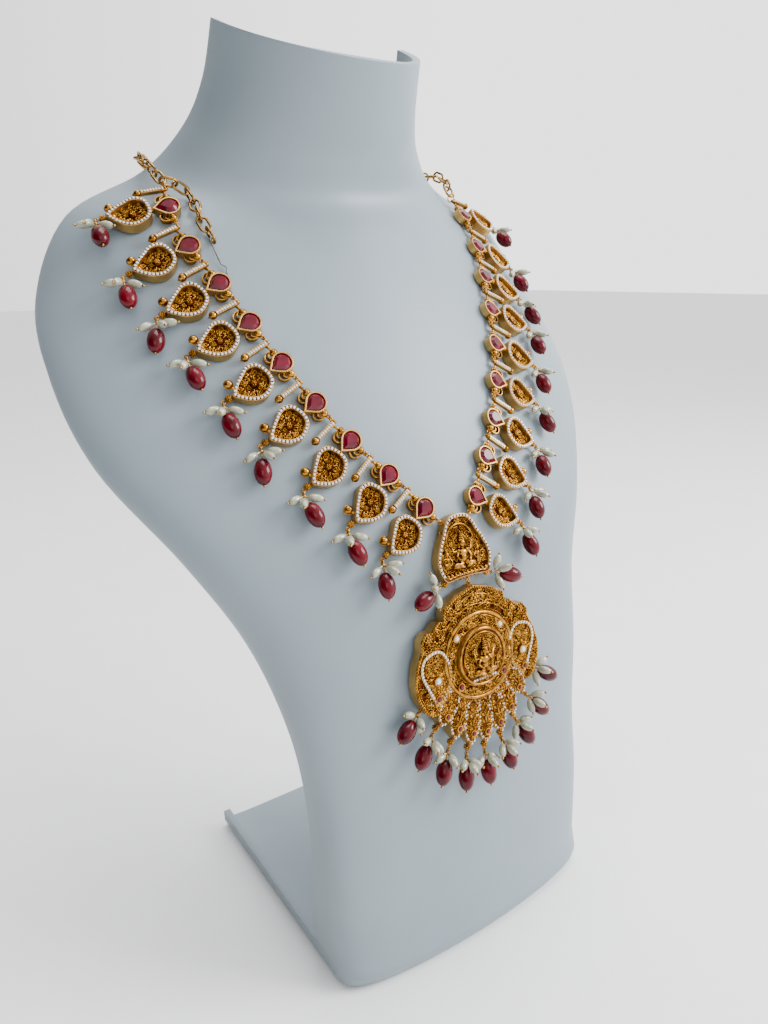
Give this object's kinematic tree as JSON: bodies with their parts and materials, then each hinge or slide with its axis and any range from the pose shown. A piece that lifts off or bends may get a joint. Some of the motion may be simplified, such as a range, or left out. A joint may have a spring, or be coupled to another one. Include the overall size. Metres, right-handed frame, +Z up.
{
  "type": "temple jewellery necklace on a neck bust",
  "caption": "Temple jewellery necklace with mango shaped links, pear rubies, a figure plaque and a large medallion pendant, fringed with ruby beads and pearls, laid on a plain neck bust.",
  "frame": {"origin": "middle of the foot plate's underside, on the surface that the bust stands on", "axes": "+Z up, -Y the way the bust faces, +X to a viewer's right"},
  "size_m": [0.232, 0.1411, 0.342],
  "materials": {
    "bust": "satin moulded plastic, cool white",
    "gold": "antique gold plating, darker copper in the hollows",
    "pear_ruby": "cut, polished, pinkish red",
    "crystal": "cut, polished, clear",
    "ruby_bead": "polished, deep crimson",
    "pearl": "pearly lustre, pale greenish ivory",
    "pin": "drawn wire, gold plated",
    "chain": "polished wire, antique gold plated",
    "wire": "bare bent wire"
  },
  "bodies": {
    "root": {"neck_bust": "bust", "link_left_1": "gold", "link_left_2": "gold", "link_left_3": "gold", "link_left_4": "gold", "link_left_5": "gold", "link_left_6": "gold", "link_left_7": "gold", "link_left_8": "gold", "link_left_9": "gold", "link_right_1": "gold", "link_right_2": "gold", "link_right_3": "gold", "link_right_4": "gold", "link_right_5": "gold", "link_right_6": "gold", "link_right_7": "gold", "link_right_8": "gold", "link_right_9": "gold", "pear_ruby_left_1": "pear_ruby", "pear_ruby_left_2": "pear_ruby", "pear_ruby_left_3": "pear_ruby", "pear_ruby_left_4": "pear_ruby", "pear_ruby_left_5": "pear_ruby", "pear_ruby_left_6": "pear_ruby", "pear_ruby_left_7": "pear_ruby", "pear_ruby_left_8": "pear_ruby", "pear_ruby_left_9": "pear_ruby", "pear_ruby_right_1": "pear_ruby", "pear_ruby_right_2": "pear_ruby", "pear_ruby_right_3": "pear_ruby", "pear_ruby_right_4": "pear_ruby", "pear_ruby_right_5": "pear_ruby", "pear_ruby_right_6": "pear_ruby", "pear_ruby_right_7": "pear_ruby", "pear_ruby_right_8": "pear_ruby", "pear_ruby_right_9": "pear_ruby", "centre_plaque": "gold", "pendant": "gold", "pendant_ring": "gold", "pendant_rubies": "pear_ruby", "pendant_crystals": "crystal", "link_rings_left": "gold", "link_rings_right": "gold", "ruby_beads_left": "ruby_bead", "ruby_beads_right": "ruby_bead", "ruby_beads_pendant": "ruby_bead", "pearls_left": "pearl", "pearls_right": "pearl", "pearls_pendant": "pearl", "head_pins_left": "pin", "head_pins_right": "pin", "head_pins_pendant": "pin", "back_chain": "chain", "tail_chain": "chain", "tail_wire": "wire"}
  },
  "joints": []
}
